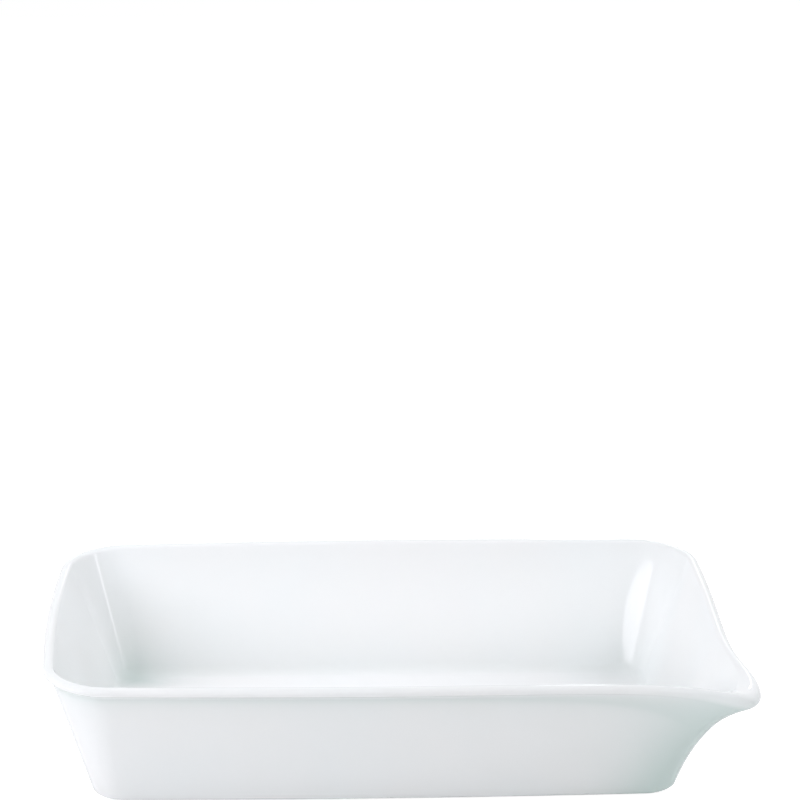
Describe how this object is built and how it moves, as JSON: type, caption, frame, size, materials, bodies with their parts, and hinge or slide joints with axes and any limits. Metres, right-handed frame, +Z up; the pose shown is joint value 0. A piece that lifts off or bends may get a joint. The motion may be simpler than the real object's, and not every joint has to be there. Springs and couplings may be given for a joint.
{
  "type": "baking dish",
  "caption": "Shallow rectangular baking dish in white glazed porcelain, with flared walls, a rolled rim and one corner drawn out into a pouring lip.",
  "frame": {"origin": "middle of the foot ring's flat standing face, on the table", "axes": "+Z up, long sides along X, and the pouring lip is the corner towards +X and -Y"},
  "size_m": [0.3303, 0.1994, 0.0665],
  "materials": {
    "bare_porcelain": "matte, fired and unglazed",
    "white_glaze": "glossy white glaze"
  },
  "bodies": {
    "root": {"porcelain_body": "bare_porcelain", "glaze_coat": "white_glaze", "underside_glaze": "white_glaze"}
  },
  "joints": []
}
